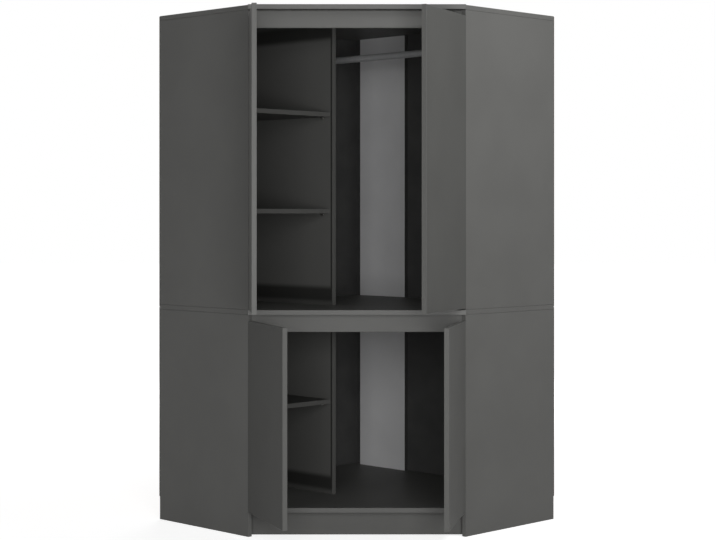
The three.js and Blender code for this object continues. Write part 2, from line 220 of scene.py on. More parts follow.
def wrapped_quads(rows, columns):
    """Four-cornered faces of a grid of rows whose columns close on themselves."""
    row, column = np.mgrid[0 : rows - 1, 0:columns]
    following = (column + 1) % columns
    here, below = row * columns, (row + 1) * columns
    corners = [here + column, below + column, below + following, here + following]
    return np.stack(corners, axis=-1).reshape(-1, 4).tolist()


def circle(radius, sides):
    """Points at even angles on a circle round zero."""
    angle = np.arange(sides) * (2 * math.pi / sides)
    return radius * np.stack([np.cos(angle), np.sin(angle)], axis=1)


triangles_inside = 1  # the kind of result: no triangles outside the outline
triangle_tolerance = 1e-9


def flat_face(points, ring, rims=(), openings=()):
    """Triangles between an outline and the rims of its openings, as indices of the points. An opening is
    its middle and radius."""
    index = np.concatenate([ring, *rims]).astype(int)
    flat = [Vector(point) for point in points[index][:, :2]]
    edges = []
    for rim in rims:
        first = int(np.flatnonzero(index == rim[0])[0])
        edges += [(first + i, first + (i + 1) % len(rim)) for i in range(len(rim))]
    outer = [list(range(len(ring)))]
    found = delaunay_2d_cdt(flat, edges, outer, triangles_inside, triangle_tolerance)
    faces = np.array([[index[found[3][i][0]] for i in face] for face in found[2]])
    middle = points[faces][:, :, :2].mean(axis=1)
    for x, y, radius in openings:
        inside = np.hypot(middle[:, 0] - x, middle[:, 1] - y) < radius
        faces, middle = faces[~inside], middle[~inside]
    return faces.tolist()


bore_sides = 36
bore_chamfer = 0.3 * millimetre


def slab(outline, low, high, edge, bores=(), lean=0):
    """A plate as a closed shell: an edge profile carried round an outline with mitred corners, and two
    flat faces. A profile point is how far it stands in from the outline and how far below its face.
    A bore is its middle, radius and floor, and opens the low face. Lean is how far each corner of the
    low face lies from the one above it, where an end is cut mitred.
    """
    corners = np.asarray(outline, float)
    ahead = np.roll(corners, -1, axis=0) - corners
    ahead /= np.linalg.norm(ahead, axis=1, keepdims=True)
    inward = np.stack([-ahead[:, 1], ahead[:, 0]], axis=1)
    before = np.roll(inward, 1, axis=0)
    mitre = (inward + before) / (1 + np.sum(inward * before, axis=1, keepdims=True))
    inset, drop = np.asarray(edge, float).T
    insets = np.concatenate([inset, inset[::-1]])
    levels = np.concatenate([high - drop, low + drop[::-1]])
    depth_share = (high - levels) / (high - low)
    rings = corners + insets[:, None, None] * mitre + depth_share[:, None, None] * np.asarray(lean)
    heights = np.broadcast_to(levels[:, None, None], (*rings.shape[:2], 1))
    points = np.concatenate([rings, heights], axis=2).reshape(-1, 3)
    count = len(corners)
    faces = wrapped_quads(len(levels), count)
    rims = []
    for x, y, radius, end in bores:
        steps = [(radius + bore_chamfer, low), (radius, low + bore_chamfer), (radius, end)]
        wall = [np.c_[circle(r, bore_sides) + (x, y), np.full(bore_sides, z)] for r, z in steps]
        start = len(points)
        points = np.concatenate([points, *wall])
        faces += [[start + i for i in face] for face in wrapped_quads(len(wall), bore_sides)]
        rims.append(start + np.arange(bore_sides))
        bore_floor = len(points) - bore_sides + np.arange(bore_sides)
        faces.append(bore_floor.tolist())
    openings = [(x, y, radius + bore_chamfer) for x, y, radius, _ in bores]
    faces += flat_face(points, np.arange(count))
    first_of_last = count * (len(levels) - 1)
    faces += flat_face(points, first_of_last + np.arange(count), rims, openings)
    marks = np.zeros(len(points))
    marks[: insets.size * count] = np.repeat(insets, count)
    return points, faces, marks


def arris(radius, steps=4):
    """A rounded corner as an edge profile: a quarter circle from the face to the edge."""
    angle = np.linspace(0, math.pi / 2, steps + 1)
    return np.stack([radius * (1 - np.sin(angle)), radius * (1 - np.cos(angle))], axis=1)


band_width = 1.0 * millimetre  # thickness of the plastic edge band
band_joint = 0.3 * millimetre  # the fine line between band and melamine
band_round = 0.6 * millimetre
band_edge = [
    (band_width + band_joint, 0),
    (band_width + band_joint / 2, band_joint / 2),
    (band_width, 0),
    *arris(band_round),
]

merge_distance = 1e-6
flat_angle = math.radians(1)  # triangles that turn less than this are one face


def read_board(node):
    """A board's outline, face levels, bores and lean, with its own axes, read from its solid. The outline
    is its largest face, which no bore opens, and each bore is found by its floor between the two faces.
    """
    solid = bmesh.new()
    solid.from_mesh(frame["nodes"][node].data)
    bmesh.ops.remove_doubles(solid, verts=solid.verts, dist=merge_distance)
    bmesh.ops.dissolve_limit(solid, angle_limit=flat_angle, verts=solid.verts, edges=solid.edges)
    face = max(solid.faces, key=lambda f: f.calc_area())
    axis = np.array(face.normal)
    ring = np.array([vertex.co for vertex in face.verts])
    sides = np.roll(ring, -1, axis=0) - ring
    along = sides[np.argmax(np.linalg.norm(sides, axis=1))]
    along = along / np.linalg.norm(along)
    axes = np.stack([along, np.cross(axis, along), axis])
    corners = np.array([vertex.co for vertex in solid.verts]) @ axes.T
    low, high = corners[:, 2].min(), corners[:, 2].max()
    bores = []
    for floor_face in solid.faces:
        own = np.array([vertex.co for vertex in floor_face.verts]) @ axes.T
        level = own[:, 2].mean()
        flat = np.ptp(own[:, 2]) < merge_distance
        if flat and low + millimetre < level < high - millimetre:
            middle = own[:, :2].mean(axis=0)
            bores.append((*middle, np.linalg.norm(own[0, :2] - middle), level))
    solid.free()
    outline = (ring @ axes.T)[:, :2]
    low_face = corners[corners[:, 2] < low + merge_distance][:, :2]
    apart = np.linalg.norm(outline[:, None] - low_face[None], axis=2)
    lean = low_face[apart.argmin(axis=1)] - outline
    return outline, low, high, bores, lean, axes


smooth_angle = math.radians(35)  # a sharper fold than this shows as an edge


def piece(name, shells, finish, nodes, body=None):
    """A mesh of closed shells, each of points, faces and marks. It takes its nodes' place and rides on
    their body, or without nodes on the body that is named."""
    starts = np.cumsum([0] + [len(shell[0]) for shell in shells])
    points = np.concatenate([shell[0] for shell in shells])
    faces = [[start + i for i in face] for start, shell in zip(starts, shells) for face in shell[1]]
    mesh = bpy.data.meshes.new(name)
    mesh.from_pydata(points.tolist(), [], faces)
    mark = mesh.attributes.new("mark", "FLOAT", "POINT")
    mark.data.foreach_set("value", np.concatenate([shell[2] for shell in shells]).astype(np.float32))
    work = bmesh.new()
    work.from_mesh(mesh)
    bmesh.ops.remove_doubles(work, verts=work.verts, dist=merge_distance)
    bmesh.ops.recalc_face_normals(work, faces=work.faces)
    work.to_mesh(mesh)
    work.free()
    mesh.shade_smooth()
    mesh.set_sharp_from_angle(angle=smooth_angle)
    mesh.materials.append(finish)
    made = bpy.data.objects.new(name, mesh)
    scene.collection.objects.link(made)
    weighting = made.modifiers.new("wide_faces_lead", "WEIGHTED_NORMAL")
    weighting.keep_sharp = True
    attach(made, body or body_of(frame["nodes"][nodes[0]])[0])
    if nodes:
        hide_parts(*nodes)


def colour(red, green, blue):
    """A colour given as seen on a screen, from 0 to 255, as the linear values that a shader takes."""
    share = np.array([red, green, blue]) / 255
    linear = np.where(share < 0.04045, share / 12.92, ((share + 0.055) / 1.055) ** 2.4)
    return (*linear.tolist(), 1)


def new_finish(name, constants):
    """A material, its Principled shader with these constants, and Object coordinates in metres."""
    made = bpy.data.materials.new(name)
    made.use_nodes = True
    shader = made.node_tree.nodes["Principled BSDF"]
    for socket, value in constants.items():
        shader.inputs[socket].default_value = value
    place = Socket(made.node_tree).node("ShaderNodeTexCoord", None, None, "Object")
    return made, shader, place


def noise(place, to_the_metre, detail=2.0, roughness=0.5):
    """Soft random patches, from 0 to 1 about a half, with this many to the metre."""
    sockets = {"Vector": place, "Scale": to_the_metre, "Detail": detail, "Roughness": roughness}
    return place.node("ShaderNodeTexNoise", None, sockets)


band_coat = 0.27


def melamine(name, face, face_light, band, face_coat):
    """Matt melamine: two near shades in wide clouds, a fine pearl in the gloss and the surface, and a
    smoother band on the edge with a dark line beside it, partly glue and partly painted shade in the groove,
    told by how far a point is in from it."""
    constants = {"IOR": 1.5, "Specular IOR Level": 0.05, "Coat Roughness": 0.4}
    made, shader, place = new_finish(name, constants)
    clouds = noise(place, to_the_metre=5.0, detail=3.0)
    pearl = noise(place, to_the_metre=850.0, detail=1.0)
    inset = place.node("ShaderNodeAttribute", {"attribute_name": "mark"}, None, "Fac")
    turn = 0.3 * band_joint  # the shade turns over this width at each side of the joint
    on_face = inset.step(band_width + band_joint - turn, band_width + band_joint)
    past_band = inset.step(band_width, band_width + turn)
    cloud_share, pearl_share = 0.8, 0.2
    shade = (clouds * cloud_share + pearl * pearl_share).step(low=0.3, high=0.7)
    base = on_face.between(band, shade.between(face, face_light))
    # the dark line at the band joint is partly glue and partly painted shade in the joint's groove
    glue_and_groove_shade = 0.4  # of the face's brightness
    glue_and_groove_shade_line = tuple(glue_and_groove_shade * part for part in face[:3]) + (1,)
    place.link((past_band - on_face).between(base, glue_and_groove_shade_line), shader.inputs["Base Color"])
    band_roughness, face_rise, pearl_rise = 0.46, 0.02, 0.12
    rise = on_face * (face_rise + pearl * pearl_rise)
    place.link(band_roughness + rise, shader.inputs["Roughness"])
    place.link(on_face * (face_coat - band_coat) + band_coat, shader.inputs["Coat Weight"])
    relief = {"Strength": 0.25, "Distance": 0.05 * millimetre, "Height": pearl * on_face}
    place.link(place.node("ShaderNodeBump", None, relief), shader.inputs["Normal"])
    return made


anthracite_coat = 0.22
anthracite = melamine(
    "anthracite_melamine", colour(98, 98, 96), colour(102, 102, 100), colour(107, 107, 105), anthracite_coat
)


def faced_board(node, finish, joints=(0, 0), highlit_band_depth=math.inf):
    """The board of a node, with its banded edge and its bores. An upright board stops short of the boards
    below and above it by a joint. Edges that lie further back than the depth take the face's tone; the nearer
    ones keep the band's lighter tone, which is partly a painted highlight of the light from the front.
    """
    outline, low, high, bores, lean, axes = read_board(node)
    up = axes[:2, 2]
    height = outline @ up
    shortened = np.where(height < height.mean(), joints[0], -joints[1])[:, None] * up
    points, faces, marks = slab(outline + shortened, low, high, band_edge, bores, lean)
    points = points @ axes
    behind = points[:, 1] > points[:, 1].min() + highlit_band_depth
    marks[behind] = np.maximum(marks[behind], band_width + band_joint)
    piece(f"{node}_faced", [(points, faces, marks)], finish, [node])


# painted highlight: only edges this near the front keep the band's lighter tone, which stands partly for the
# front light on them
painted_highlight_depth = 10 * millimetre  # only edges as near the front as this look banded
for node in ("bottom_board", "middle_board", "top_board"):
    faced_board(node, anthracite, highlit_band_depth=painted_highlight_depth)
hairline = 0.5 * millimetre  # the joint between an upright board and one that lies on it or under it
for node in ("front_plinth", "lower_left_side", "lower_right_side"):
    faced_board(node, anthracite, (0, hairline))
for node in ("upper_left_side", "upper_right_side"):
    faced_board(node, anthracite, (hairline, hairline))

# Lintels
# Two rails of the same board under the middle and top boards; their lighter tone is painted light. Their ends
# are mitred between the side panels, and they stand back by more than the thickness of a door.
# painted light: face tones lighter than the carcass's, making up for the shade under the boards' overhang
painted_light_lintel_melamine = melamine(
    "painted_light_lintel_melamine", colour(102, 102, 100), colour(106, 106, 104), colour(107, 107, 105), anthracite_coat
)
for node in ("lower_lintel", "upper_lintel"):
    faced_board(node, painted_light_lintel_melamine, (0, hairline))

# Dividers and shelves
# The carcass's board, its face tone darker as painted shade, banded on all edges. A divider stands in each
# storey, parallel to the left side panel, and each shelf lies loose on four pins between them, with a little
# play all round.
inner_coat = 0.06
# painted shade: face tones darker than the carcass's, for the shade inside the bays
shaded_inner_board = melamine(
    "shaded_inner_melamine", colour(79, 79, 77), colour(83, 83, 81), colour(95, 95, 93), inner_coat
)
for node in ("lower_divider", "upper_divider", "lower_shelf", "upper_shelf_1", "upper_shelf_2"):
    faced_board(node, shaded_inner_board)

# Doors
# Board of the carcass's thickness, its face tone a little darker as painted shade, banded all round. Wide
# bores in its back face take the hinge cups.
door_coat = 0
# painted shade: face tones darker than the carcass's, so the open doors read less lit
shaded_door_melamine = melamine(
    "shaded_door_melamine", colour(86, 86, 84), colour(90, 90, 88), colour(99, 99, 97), door_coat
)
doors = ["upper_left", "upper_right", "lower_left", "lower_right"]
for door in doors:
    faced_board(f"{door}_door", shaded_door_melamine)

# Corner boards
# Two pale boards stand against the right back panel with their edges banded in the carcass's colour.
# The lower one goes down through a notch in the bottom board and carries the rear corner.
pale_coat = 0.1
pale = melamine(
    "pale_melamine", colour(217, 217, 218), colour(224, 224, 225), colour(70, 70, 69), pale_coat
)
for node in ("lower_corner_board", "upper_corner_board"):
    faced_board(node, pale)

# Back panels
# Thin fibreboard with sawn edges, dark lacquer on its inner face and raw brown on its outer one. Each
# panel lies flat on the carcass's rear edges and is nailed there every 125 mm, close to its own edge.
sawn_round = 0.25 * millimetre
sawn_edge = arris(sawn_round, steps=2)
along_left_wall = np.array([1, 1, 0]) / math.sqrt(2)  # towards the corner of the room
along_right_wall = np.array([-1, 1, 0]) / math.sqrt(2)
upright = np.array([0, 0, 1])


def fibreboard():
    """Lacquer or raw board by the share of the way from the inner face to the rear one. Both have soft
    clouds and short fibres; the raw face's fibres are lighter and the lacquer is smoother."""
    made, shader, place = new_finish("fibreboard", {"IOR": 1.5, "Specular IOR Level": 0.1})
    clouds = noise(place, to_the_metre=9.0, detail=4.0)
    fibres = noise(place, to_the_metre=600.0, detail=3.0, roughness=0.7)
    cloud_share, fibre_share = 0.5, 0.5
    shade = (clouds * cloud_share + fibres * fibre_share).step(low=0.35, high=0.65)
    rearwards = place.node("ShaderNodeAttribute", {"attribute_name": "mark"}, None, "Fac")
    rear = rearwards.step(low=0.6, high=0.9)
    lacquer = shade.between(colour(74, 74, 74), colour(84, 84, 83))
    raw = shade.between(colour(139, 108, 76), colour(160, 128, 94))
    place.link(rear.between(lacquer, raw), shader.inputs["Base Color"])
    lacquer_roughness, raw_rise, fibre_rise = 0.55, 0.25, 0.12
    place.link(lacquer_roughness + rear * raw_rise + fibres * fibre_rise, shader.inputs["Roughness"])
    relief = {"Strength": 0.3, "Distance": 0.06 * millimetre, "Height": fibres}
    place.link(place.node("ShaderNodeBump", None, relief), shader.inputs["Normal"])
    return made


def steel(name, tone, roughness, streaks, metallic=1.0):
    """Bright metal: its gloss varies in soft patches and along fine streaks left by polishing."""
    made, shader, place = new_finish(name, {"Metallic": metallic})
    stretched = place.node("ShaderNodeMapping", None, {"Vector": place, "Scale": streaks})
    lines = noise(stretched, to_the_metre=900.0, detail=2.0)
    patches = noise(place, to_the_metre=60.0, detail=3.0)
    dulled = 0.86  # brightness of the darker patches
    darker = tuple(dulled * part for part in tone[:3]) + (1,)
    line_share, patch_share = 0.5, 0.5
    shade = (lines * line_share + patches * patch_share).step(low=0.3, high=0.7)
    place.link(shade.between(darker, tone), shader.inputs["Base Color"])
    line_rise, patch_rise = 0.1, 0.08
    place.link(lines * line_rise + patches * patch_rise + roughness, shader.inputs["Roughness"])
    relief = {"Strength": 0.15, "Distance": 0.02 * millimetre, "Height": lines}
    place.link(place.node("ShaderNodeBump", None, relief), shader.inputs["Normal"])
    return made


nail_steel = steel("nail_steel", colour(150, 148, 145), roughness=0.38, streaks=(1, 1, 1))
nail_radius, nail_rise = 2.6 * millimetre, 0.3 * millimetre
nail_top_radius = 0.75 * nail_radius
nail_pitch, nail_inset = 125 * millimetre, 6 * millimetre
nail_sides = 10


def nail_heads(middles, level):
    """Flat heads with a sloping rim, one at each middle, their feet a little below the level."""
    rings = [(nail_radius, -nail_rise), (nail_radius, 0), (nail_top_radius, nail_rise)]
    shells = []
    for middle in middles:
        wall = []
        for radius, z in rings:
            wall.append(np.c_[circle(radius, nail_sides) + middle, np.full(nail_sides, level + z)])
        points = np.concatenate(wall)
        last = len(points) - nail_sides + np.arange(nail_sides)
        faces = wrapped_quads(len(rings), nail_sides) + [list(range(nail_sides)), last.tolist()]
        shells.append((points, faces, np.zeros(len(points))))
    return shells


def nailed_sides(outline, bare_way, bare_reach):
    """Evenly spaced places a nail's inset inside each side of an outline, apart from the bare side, which
    is the one that lies furthest in the bare way."""
    places = []
    for first, last in zip(outline, np.roll(outline, -1, axis=0)):
        ahead = (last - first) / np.linalg.norm(last - first)
        inward = np.array([-ahead[1], ahead[0]])
        crosses = abs(ahead @ bare_way) < abs(inward @ bare_way)
        if crosses and first @ bare_way > bare_reach - nail_inset:
            continue
        start, end = first + nail_inset * (ahead + inward), last - nail_inset * (ahead - inward)
        count = max(round(np.linalg.norm(end - start) / nail_pitch), 1)
        places += [start + (end - start) * i / count for i in range(count)]
    return places


lacquered = fibreboard()
for storey in ("lower", "upper"):
    for side, rearwards, cornerwards in (
        ("left", along_right_wall, along_left_wall),
        ("right", along_left_wall, along_right_wall),
    ):
        node = f"{storey}_{side}_back"
        outline, low, high, _, _, axes = read_board(node)
        points, faces, _ = slab(outline, low, high, sawn_edge)
        rear_up = axes[2] @ rearwards > 0
        above = (points[:, 2] - low) / (high - low)
        to_rear = above if rear_up else 1 - above
        piece(f"{node}_faced", [(points @ axes, faces, to_rear)], lacquered, [node])
        corner_way = axes[:2] @ cornerwards
        places = nailed_sides(outline, corner_way, (outline @ corner_way).max())
        level, up = (high, axes) if rear_up else (-low, axes * [[1], [1], [-1]])
        heads = [(p @ up, f, m) for p, f, m in nail_heads(places, level)]
        piece(f"{node}_nails", heads, nail_steel, [], "carcass")

# Shelf pins
# Nickel-plated steel, turned, with a shank in the board's bore and a thicker head under the shelf.
# Four to a shelf, two in the left side panel and two in the divider.
def turned(profile, sides, closed=False):
    """A profile of radius and height carried round an axis. It starts and ends on the axis, or closes
    on itself for a ring."""
    radius, height = np.asarray(profile, float).T
    around = circle(1, sides)
    flat = radius[:, None, None] * around[None]
    level = np.broadcast_to(height[:, None, None], (*flat.shape[:2], 1))
    points = np.concatenate([flat, level], axis=2).reshape(-1, 3)
    faces = wrapped_quads(len(radius), sides)
    if closed:
        last, size = len(radius) - 1, len(points)
        joint = np.array(wrapped_quads(2, sides)) + last * sides
        faces += (joint % size).tolist()
    return points, faces, np.zeros(len(points))


def placed(shell, axes, origin):
    """A shell moved to an origin, with its own three directions along the given ones."""
    points, faces, marks = shell
    return points @ np.asarray(axes) + origin, faces, marks


def spindle(node, axis, across):
    """Where a turned node starts on its axis, and how long it is, with the axis's own directions."""
    axes = np.stack([across, np.cross(axis, across), axis])
    points = np.array([vertex.co for vertex in frame["nodes"][node].data.vertices]) @ axes.T
    low, high = points.min(axis=0), points.max(axis=0)
    middle = (low + high) / 2
    return axes, np.array([middle[0], middle[1], low[2]]) @ axes, high[2] - low[2]


nickel = steel("nickel_plate", colour(196, 194, 189), roughness=0.22, streaks=(1, 1, 1))
pin_shank_radius, pin_shank_length = 2.5 * millimetre, 8 * millimetre
pin_head_radius, pin_head_length = 3.5 * millimetre, 8 * millimetre
pin_round = 0.6 * millimetre
pin_sides = 28


def pin_profile():
    """Tip, chamfer, shank, undercut, head with a fine groove and a rounded end."""
    tip, head_end = 0, pin_shank_length + pin_head_length
    bend = arris(pin_round, steps=3)
    end = [(pin_head_radius - inset, head_end - drop) for inset, drop in bend[::-1]]
    return [
        (0, tip),
        (pin_shank_radius - pin_round, tip),
        (pin_shank_radius, tip + pin_round),
        (pin_shank_radius, pin_shank_length),
        (pin_head_radius - pin_round / 3, pin_shank_length),
        (pin_head_radius, pin_shank_length + pin_round / 3),
        (pin_head_radius, pin_shank_length + 2 * pin_round),
        (pin_head_radius - pin_round / 3, pin_shank_length + 2.5 * pin_round),
        (pin_head_radius, pin_shank_length + 3 * pin_round),
        *end,
        (0, head_end),
    ]


for shelf in ("lower_shelf", "upper_shelf_1", "upper_shelf_2"):
    for side, axis in (("left", along_left_wall), ("right", -along_left_wall)):
        for end in ("front", "rear"):
            node = f"{shelf}_pin_{side}_{end}"
            axes, origin, _ = spindle(node, axis, upright)
            shell = placed(turned(pin_profile(), pin_sides), axes, origin)
            piece(f"{node}_turned", [shell], nickel, [node])

# Hanging rail
# A satin grey steel tube that runs level and parallel to the right wall. Its near end sits in a flanged
# socket that is screwed to the right side panel, its far end in a bracket under the top board.
satin_grey = steel(
    "satin_grey", colour(190, 191, 192), roughness=0.42, streaks=(0.05, 0.05, 1), metallic=0.25
)
rail_radius, rail_wall = 12.5 * millimetre, 1.5 * millimetre
socket_bore, socket_wall = 12.8 * millimetre, 3.2 * millimetre
edge_round = 0.5 * millimetre
rail_sides = 64


def cross_screw(radius, rise, depth, sides=40, rings=10):
    """A screw head: a dome that falls with the square of the distance from its middle, to half its rise
    at the rim. Its cross-shaped recess is cut where the nearer of the two cross lines is close, and ends
    past half the radius. The recess's measures across the head are shares of the radius."""
    innermost = 0.04
    slot_half_width, slot_slope = 0.2, 0.07
    slot_reach, slot_end_slope = 0.62, 0.1
    share = np.linspace(1, innermost, rings)[:, None]
    x, y = (share * circle(1, sides)[None, :, axis] for axis in (0, 1))
    near, far = np.minimum(abs(x), abs(y)), np.maximum(abs(x), abs(y))
    across = np.clip((slot_half_width - near) / slot_slope, 0, 1)
    along = np.clip((slot_reach - far) / slot_end_slope, 0, 1)
    top = rise * (1 - share**2 / 2) - depth * across * along
    skirt = np.stack([x[0], y[0], np.full(sides, -depth / radius)], axis=1)
    dome = np.stack([x, y, top / radius], axis=2).reshape(-1, 3)
    points = radius * np.concatenate([skirt, dome])
    last = len(points) - sides + np.arange(sides)
    faces = wrapped_quads(rings + 1, sides) + [list(range(sides)), last.tolist()]
    return points, faces, np.zeros(len(points))


def rounded_rectangle(width, height, radius, steps=6):
    """The outline of a rectangle round zero with quarter circles for corners, anticlockwise."""
    angle = np.linspace(0, math.pi / 2, steps + 1)
    quarter = radius * np.stack([np.cos(angle), np.sin(angle)], axis=1)
    turn = np.array([[0, 1], [-1, 0]])
    points = []
    for x, y in ((1, 1), (-1, 1), (-1, -1), (1, -1)):
        middle = (x * (width / 2 - radius), y * (height / 2 - radius))
        points += (quarter + middle).tolist()
        quarter = quarter @ turn
    return np.array(points)


rail_axes, rail_origin, rail_length = spindle("hanging_rail", along_right_wall, upright)
tube = [
    (rail_radius - edge_round, 0),
    (rail_radius, edge_round),
    (rail_radius, rail_length - edge_round),
    (rail_radius - edge_round, rail_length),
    (rail_radius - rail_wall, rail_length),
    (rail_radius - rail_wall, 0),
]
rail_shell = placed(turned(tube, rail_sides, closed=True), rail_axes, rail_origin)
piece("hanging_rail_tube", [rail_shell], satin_grey, ["hanging_rail"])

flange_radius, flange_plate, flange_length = 24 * millimetre, 3 * millimetre, 14 * millimetre
socket_outer = socket_bore + socket_wall
sweep = 1.6 * millimetre  # radius where the flange runs into the socket
sweep_foot = flange_plate - edge_round
hollow_corner = [
    (socket_outer + sweep * (1 - math.sin(angle)), sweep_foot + sweep * (1 - math.cos(angle)))
    for angle in np.linspace(0, math.pi / 2, 5)
]
flange_profile = [
    (0, 0),
    (flange_radius, 0),
    (flange_radius, flange_plate - 2 * edge_round),
    (flange_radius - edge_round, flange_plate - edge_round),
    *hollow_corner,
    (socket_outer, flange_length - edge_round),
    (socket_outer - edge_round, flange_length),
    (socket_bore + edge_round, flange_length),
    (socket_bore, flange_length - edge_round),
    (socket_bore, flange_plate),
    (0, flange_plate),
]
flange_axes, flange_origin, _ = spindle("rail_flange", along_right_wall, upright)
flange_shells = [placed(turned(flange_profile, rail_sides), flange_axes, flange_origin)]
flange_screws, flange_screw_circle = 3, 20.6 * millimetre
small_screw = cross_screw(radius=2.4 * millimetre, rise=0.8 * millimetre, depth=0.7 * millimetre)
for x, y in circle(flange_screw_circle, flange_screws):
    seat = np.array([x, y, flange_plate - edge_round]) @ flange_axes + flange_origin
    flange_shells.append(placed(small_screw, flange_axes, seat))
piece("rail_flange_pressed", flange_shells, satin_grey, ["rail_flange"])

bracket_width = 10 * millimetre
stem_width, plate_thickness = 14 * millimetre, 3 * millimetre
ceiling_plate, ceiling_plate_corner = (64 * millimetre, 26 * millimetre), 5 * millimetre
ceiling_screw_inset = 9 * millimetre
low_corner, high_corner = (np.array(corner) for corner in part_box("rail_bracket"))
ceiling = high_corner[2]
bracket_drop = ceiling - rail_origin[2]  # from the top board to the rail's axis
bracket_middle = np.array([*(low_corner + high_corner)[:2] / 2, rail_origin[2]])
across_rail = np.stack([along_left_wall, along_right_wall, upright])
ring_axes = np.stack([along_left_wall, upright, along_right_wall])
ring_half = bracket_width / 2
ring_profile = [
    (socket_bore, ring_half),
    (socket_outer - edge_round, ring_half),
    (socket_outer, ring_half - edge_round),
    (socket_outer, edge_round - ring_half),
    (socket_outer - edge_round, -ring_half),
    (socket_bore, -ring_half),
]
flare = 6 * millimetre
flare_angle = np.linspace(0, math.pi / 2, 7)
stem_top = bracket_drop - plate_thickness
stem_side = np.stack(
    [stem_width / 2 + flare * (1 - np.cos(flare_angle)), stem_top - flare * (1 - np.sin(flare_angle))], axis=1
)
stem_foot = socket_bore + socket_wall / 2
stem_outline = [(-stem_width / 2, stem_foot), (stem_width / 2, stem_foot), *stem_side]
stem_outline += [(-x, z) for x, z in stem_side[::-1]]
bracket_shells = [
    placed(turned(ring_profile, rail_sides, closed=True), ring_axes, bracket_middle),
    placed(slab(stem_outline, -ring_half, ring_half, arris(edge_round, steps=2)), ring_axes, bracket_middle),
]
plate_outline = rounded_rectangle(*ceiling_plate, ceiling_plate_corner)
plate_shell = slab(plate_outline, stem_top, bracket_drop, arris(edge_round, steps=3))
bracket_shells.append(placed(plate_shell, across_rail, bracket_middle))
facing_down = across_rail * [[1], [-1], [-1]]
wide_screw = cross_screw(radius=3.6 * millimetre, rise=1.4 * millimetre, depth=1.1 * millimetre)
for side in (-1, 1):
    offset = side * (ceiling_plate[0] / 2 - ceiling_screw_inset)
    seat = bracket_middle + offset * along_left_wall + stem_top * upright
    bracket_shells.append(placed(wide_screw, facing_down, seat))
piece("rail_bracket_cast", bracket_shells, satin_grey, ["rail_bracket"])

# Hinge cups
# A pressed steel pot sunk in the door's back face, its flange screwed down through two ears. The hinge
# pin crosses the pot near the door's edge, beside the housing of the spring that holds the door shut.
cup_radius, cup_wall, cup_rim_radius = 17.5 * millimetre, 1 * millimetre, 18.9 * millimetre
cup_middle = 11 * millimetre  # from the hinge pin, towards the door's free edge
cup_sides, pot_corner = 56, 2 * millimetre
cup_floor, cup_rim_low, cup_rim_top = -4 * millimetre, 8.3 * millimetre, 9.5 * millimetre
ear_width, ear_span, ear_top = 18 * millimetre, 62 * millimetre, 9.3 * millimetre
ear_corner = 8 * millimetre
cup_screw_offset = 24 * millimetre
hinge_pin_radius, hinge_pin_sides = 1.5 * millimetre, 24
spring_box, spring_box_corner = (8 * millimetre, 15 * millimetre), 2 * millimetre
spring_box_middle, spring_box_top = 20.5 * millimetre, 4.5 * millimetre


def pot_profile():
    """From the middle of the floor outside, up the wall, out and round the rim, and down inside."""
    inner = cup_radius - cup_wall
    outside = [(cup_radius - inset, cup_floor + drop) for inset, drop in arris(pot_corner)]
    inside = [(inner - inset, cup_floor + cup_wall + drop) for inset, drop in arris(pot_corner)]
    rim_round = arris(edge_round, steps=3)[::-1]
    rim = [(cup_rim_radius - inset, cup_rim_top - drop) for inset, drop in rim_round]
    return [
        (0, cup_floor),
        *outside,
        (cup_radius, cup_rim_low),
        (cup_rim_radius, cup_rim_low),
        *rim,
        (inner + edge_round, cup_rim_top),
        (inner, cup_rim_top - edge_round),
        *inside[::-1],
        (0, cup_floor + cup_wall),
    ]


def ear_outline(steps=10):
    """An ear of the flange: it starts on the pot's round wall and has a rounded end."""
    wall = cup_radius - cup_wall / 2
    meeting = math.acos(ear_width / 2 / wall)
    angle = np.linspace(math.pi - meeting, meeting, steps + 1)
    foot = wall * np.stack([np.cos(angle), np.sin(angle)], axis=1)
    end = rounded_rectangle(ear_width, ear_span, ear_corner)
    return np.concatenate([foot, end[end[:, 1] > 0]])


def hinge_frame(door):
    """The place of a door's hinge pins, and a hinge's directions on the door as it stands and on the
    carcass: towards the door's free edge, to its back, and up."""
    joint = next(joint for joint in frame["joints"] if joint["name"] == f"{door}_hinges")
    hand = -1 if joint["pos_m"][0] > 0 else 1
    open_angle = math.radians(-joint["range_deg"][0])
    directions = []
    for angle in (open_angle, 0):
        towards = (hand * math.cos(angle), -math.sin(angle), 0)
        back = (hand * math.sin(angle), math.cos(angle), 0)
        directions.append(np.array([towards, back, (0, 0, 1)]))
    return joint["pos_m"], *directions


def hinge_cup_shells():
    """The pot, its eared flange, two screws, the hinge pin with its rounded ends, the spring housing."""
    depthwise = np.array([[1, 0, 0], [0, 0, 1], [0, 1, 0]])
    middle = np.array([cup_middle, 0, 0])
    pot = placed(turned(pot_profile(), cup_sides), depthwise, middle)
    reach = math.sqrt((cup_radius - cup_wall) ** 2 - cup_middle**2)
    bend = arris(hinge_pin_radius / 2, steps=3)
    pin_end = [(hinge_pin_radius - inset, reach - drop) for inset, drop in bend[::-1]]
    pin_start = [(radius, -height) for radius, height in pin_end[::-1]]
    pin = turned([(0, -reach), *pin_start, *pin_end, (0, reach)], hinge_pin_sides)
    box = rounded_rectangle(*spring_box, spring_box_corner)
    housing = slab(box, cup_floor + cup_wall / 2, spring_box_top, arris(edge_round * 2, steps=3))
    spring_place = np.array([spring_box_middle, 0, 0])
    shells = [pot, pin, placed(housing, depthwise, spring_place)]
    for side in (-1, 1):
        ear = slab(side * ear_outline(), cup_rim_low, ear_top, arris(edge_round, steps=3))
        shells.append(placed(ear, depthwise, middle))
        seat = np.array([cup_middle, ear_top, side * cup_screw_offset])
        shells.append(placed(wide_screw, depthwise, seat))
    return shells


